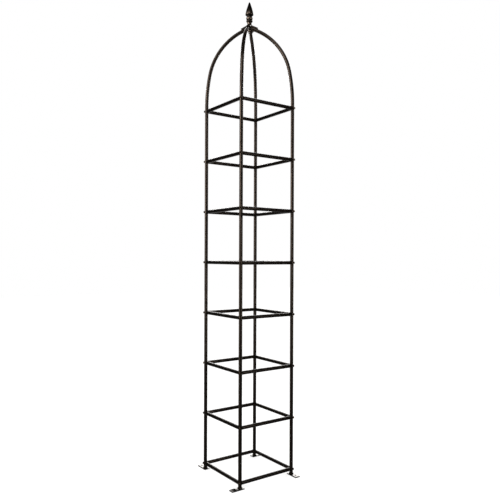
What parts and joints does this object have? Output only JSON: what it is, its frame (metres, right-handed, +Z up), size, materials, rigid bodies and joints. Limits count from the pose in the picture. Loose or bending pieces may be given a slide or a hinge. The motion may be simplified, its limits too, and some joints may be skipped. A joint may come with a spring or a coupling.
{
  "type": "garden obelisk",
  "caption": "Tall square garden obelisk that carries climbing plants: tube legs bend into a dome under a pointed finial, with bolted square rungs and pegged foot plates.",
  "frame": {"origin": "on the ground, in the middle of the four legs", "axes": "+Z up; X and Y run along the sides of the square, and the front leg is at -X -Y"},
  "size_m": [0.4484, 0.4484, 2.5654],
  "materials": {
    "frame_paint": "brushed dark bronze over black, satin",
    "cast_paint": "brushed dark bronze over black on a cast surface, satin",
    "bolt_paint": "dark bronze paint, satin",
    "coupler_steel": "plain zinc-plated steel, hidden inside the joint"
  },
  "bodies": {
    "root": {"lower_leg_front": "frame_paint", "dome_arm_front": "frame_paint", "leg_coupler_front": "coupler_steel", "foot_plate_front": "frame_paint", "lower_leg_right": "frame_paint", "dome_arm_right": "frame_paint", "leg_coupler_right": "coupler_steel", "foot_plate_right": "frame_paint", "lower_leg_back": "frame_paint", "dome_arm_back": "frame_paint", "leg_coupler_back": "coupler_steel", "foot_plate_back": "frame_paint", "lower_leg_left": "frame_paint", "dome_arm_left": "frame_paint", "leg_coupler_left": "coupler_steel", "foot_plate_left": "frame_paint", "ring_1": "frame_paint", "ring_bolts_1": "bolt_paint", "ring_washers_1": "bolt_paint", "ring_2": "frame_paint", "ring_bolts_2": "bolt_paint", "ring_washers_2": "bolt_paint", "ring_3": "frame_paint", "ring_bolts_3": "bolt_paint", "ring_washers_3": "bolt_paint", "ring_4": "frame_paint", "ring_bolts_4": "bolt_paint", "ring_washers_4": "bolt_paint", "ring_5": "frame_paint", "ring_bolts_5": "bolt_paint", "ring_washers_5": "bolt_paint", "ring_6": "frame_paint", "ring_bolts_6": "bolt_paint", "ring_washers_6": "bolt_paint", "ring_7": "frame_paint", "ring_bolts_7": "bolt_paint", "ring_washers_7": "bolt_paint", "ring_8": "frame_paint", "ring_bolts_8": "bolt_paint", "ring_washers_8": "bolt_paint", "crown": "cast_paint", "crown_bolts": "bolt_paint", "crown_washers": "bolt_paint", "finial": "cast_paint", "finial_stud": "coupler_steel", "finial_washer": "bolt_paint", "finial_nut": "bolt_paint"}
  },
  "joints": []
}
